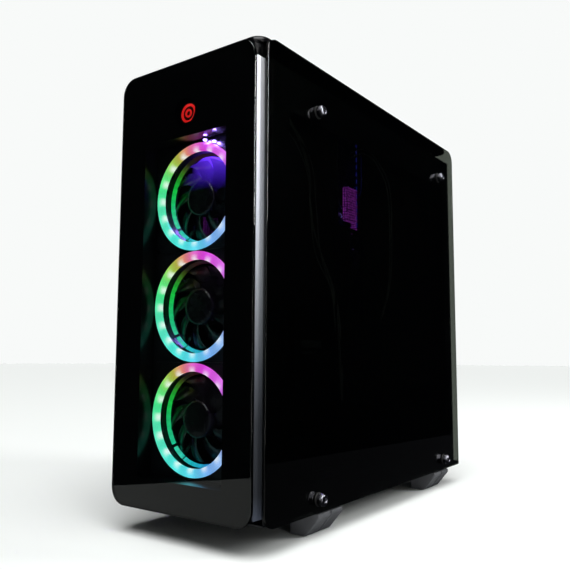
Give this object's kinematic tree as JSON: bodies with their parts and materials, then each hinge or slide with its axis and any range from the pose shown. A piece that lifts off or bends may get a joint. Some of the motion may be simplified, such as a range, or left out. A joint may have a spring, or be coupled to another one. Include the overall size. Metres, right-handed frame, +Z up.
{
  "type": "desktop computer tower",
  "caption": "Mid-tower desktop computer with glass front and sides, three ring-lit front fans, flared feet, lift-off side panels and the whole computer inside.",
  "frame": {"origin": "centre of the footprint, on the surface the feet stand on", "axes": "+Z up, -Y towards the front glass, +X to the right as seen from the front"},
  "size_m": [0.225, 0.5016, 0.52],
  "materials": {
    "front_glass": "tempered, back-painted black round a clear window",
    "side_glass": "tempered, dark grey tint, polished edge",
    "case_steel": "black powder coat",
    "case_plastic": "black ABS",
    "foot_plastic": "dark grey satin",
    "strip_aluminium": "satin anodised",
    "screw_metal": "dark chrome",
    "ring_diffuser": "frosted acrylic, lit from inside",
    "fan_plastic": "black PBT",
    "badge_plastic": "red, lit from inside",
    "board": "black circuit board",
    "bare_aluminium": "mill finish",
    "memory_fin": "anodised, lit",
    "supply_case": "black painted box",
    "cable_sleeve": "black sleeve",
    "filter_mesh": "black nylon mesh"
  },
  "bodies": {
    "case": {"front_glass": "front_glass", "front_bezel": "case_plastic", "front_badge": "badge_plastic", "front_fan_wall": "case_steel", "chassis_floor": "case_steel", "chassis_roof": "case_steel", "rear_panel": "case_steel", "motherboard_tray": "case_steel", "supply_shroud": "case_steel", "corner_strip_right": "strip_aluminium", "corner_strip_left": "strip_aluminium", "side_frame_right": "case_steel", "side_frame_left": "case_steel", "foot_front_right": "foot_plastic", "foot_rear_right": "foot_plastic", "foot_front_left": "foot_plastic", "foot_rear_left": "foot_plastic", "lid": "case_plastic", "port_block": "case_plastic", "motherboard": "board", "memory_front": "memory_fin", "memory_rear": "memory_fin", "processor_heatsink": "bare_aluminium", "processor_fan_frame": "fan_plastic", "rear_fan_frame": "fan_plastic", "graphics_card": "case_plastic", "power_supply": "supply_case", "solid_state_drive": "case_plastic", "drive_cage": "case_steel", "hard_drive": "bare_aluminium", "main_power_cable": "cable_sleeve", "fan_cable": "cable_sleeve", "fan_frame_lower": "fan_plastic", "fan_frame_middle": "fan_plastic", "fan_frame_upper": "fan_plastic", "fan_light_ring_lower": "ring_diffuser", "fan_light_ring_middle": "ring_diffuser", "fan_light_ring_upper": "ring_diffuser"},
    "right_panel": {"side_glass_right": "side_glass", "thumbscrew_right_front_low": "screw_metal", "thumbscrew_right_front_high": "screw_metal", "thumbscrew_right_rear_low": "screw_metal", "thumbscrew_right_rear_high": "screw_metal"},
    "left_panel": {"side_glass_left": "side_glass", "thumbscrew_left_front_low": "screw_metal", "thumbscrew_left_front_high": "screw_metal", "thumbscrew_left_rear_low": "screw_metal", "thumbscrew_left_rear_high": "screw_metal"},
    "lid_filter": {"lid_filter": "filter_mesh"},
    "bottom_filter": {"bottom_filter": "filter_mesh"},
    "power_button": {"power_button": "case_plastic"},
    "reset_button": {"reset_button": "case_plastic"},
    "supply_switch": {"supply_switch": "case_plastic"},
    "processor_rotor": {"processor_fan_rotor": "fan_plastic"},
    "rear_rotor": {"rear_fan_rotor": "fan_plastic"},
    "graphics_rotor_1": {"graphics_card_fan_1": "fan_plastic"},
    "graphics_rotor_2": {"graphics_card_fan_2": "fan_plastic"},
    "lower_rotor": {"fan_rotor_lower": "fan_plastic"},
    "middle_rotor": {"fan_rotor_middle": "fan_plastic"},
    "upper_rotor": {"fan_rotor_upper": "fan_plastic"}
  },
  "joints": [
    {"name": "right_panel_off", "type": "slide", "parent": "case", "child": "right_panel", "axis": [1, 0, 0], "range_m": [0, 0.06]},
    {"name": "left_panel_off", "type": "slide", "parent": "case", "child": "left_panel", "axis": [-1, 0, 0], "range_m": [0, 0.06]},
    {"name": "lid_filter_lift", "type": "slide", "parent": "case", "child": "lid_filter", "axis": [0, 0, 1], "range_m": [0, 0.03]},
    {"name": "bottom_filter_slide", "type": "slide", "parent": "case", "child": "bottom_filter", "axis": [0, 1, 0], "range_m": [0, 0.12]},
    {"name": "power_press", "type": "slide", "parent": "case", "child": "power_button", "axis": [0, 0, -1], "range_m": [0, 0.0015], "stiffness_N_per_m": 900},
    {"name": "reset_press", "type": "slide", "parent": "case", "child": "reset_button", "axis": [0, 0, -1], "range_m": [0, 0.0012], "stiffness_N_per_m": 700},
    {"name": "supply_rocker", "type": "hinge", "parent": "case", "child": "supply_switch", "pos_m": [-0.014, 0.23845, 0.092], "axis": [-1, 0, 0], "range_deg": [0, 14]},
    {"name": "lower_fan_spin", "type": "hinge", "parent": "case", "child": "lower_rotor", "pos_m": [0, -0.21475, 0.1243], "axis": [0, 1, 0], "continuous": true},
    {"name": "middle_fan_spin", "type": "hinge", "parent": "case", "child": "middle_rotor", "pos_m": [0, -0.21475, 0.2443], "axis": [0, 1, 0], "continuous": true},
    {"name": "upper_fan_spin", "type": "hinge", "parent": "case", "child": "upper_rotor", "pos_m": [0, -0.21475, 0.3643], "axis": [0, 1, 0], "continuous": true},
    {"name": "processor_fan_spin", "type": "hinge", "parent": "case", "child": "processor_rotor", "pos_m": [-0.0315, 0.11265, 0.392], "axis": [0, 1, 0], "continuous": true},
    {"name": "rear_fan_spin", "type": "hinge", "parent": "case", "child": "rear_rotor", "pos_m": [-0.0315, 0.23395, 0.418], "axis": [0, 1, 0], "continuous": true},
    {"name": "graphics_fan_1_spin", "type": "hinge", "parent": "case", "child": "graphics_rotor_1", "pos_m": [0, 0.07125, 0.2585], "axis": [0, 0, 1], "continuous": true},
    {"name": "graphics_fan_2_spin", "type": "hinge", "parent": "case", "child": "graphics_rotor_2", "pos_m": [0, 0.16925, 0.2585], "axis": [0, 0, 1], "continuous": true}
  ]
}
